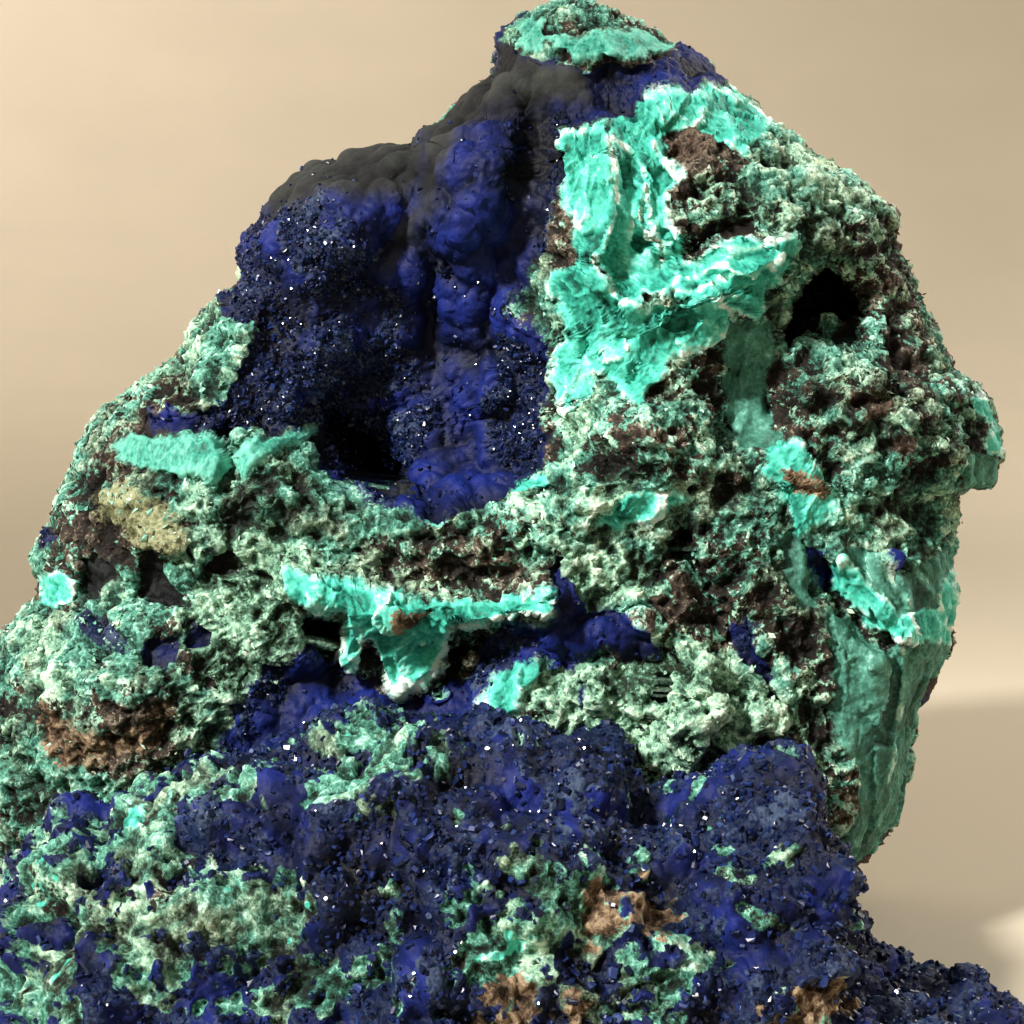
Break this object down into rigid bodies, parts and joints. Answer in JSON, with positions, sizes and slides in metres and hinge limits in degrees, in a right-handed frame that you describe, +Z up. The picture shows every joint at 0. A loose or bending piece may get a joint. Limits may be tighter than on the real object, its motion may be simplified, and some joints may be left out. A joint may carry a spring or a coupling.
{
  "type": "azurite specimen",
  "caption": "Intergrown lump of azurite and malachite on brown matrix, with a crystal-lined pocket, sawn flat underneath so that it stands upright.",
  "frame": {"origin": "on the sawn base, straight below the middle of the specimen's box", "axes": "+Z up, +Y from the crystal-lined front to the back, +X to the right seen from the front"},
  "size_m": [0.1152, 0.0816, 0.1004],
  "materials": {
    "matrix": "crumbly brown and dark green rock",
    "azurite": "deep blue crystal druse",
    "malachite": "turquoise green, silky and fibrous"
  },
  "bodies": {
    "root": {"azurite_malachite_rock": "matrix"}
  },
  "joints": []
}
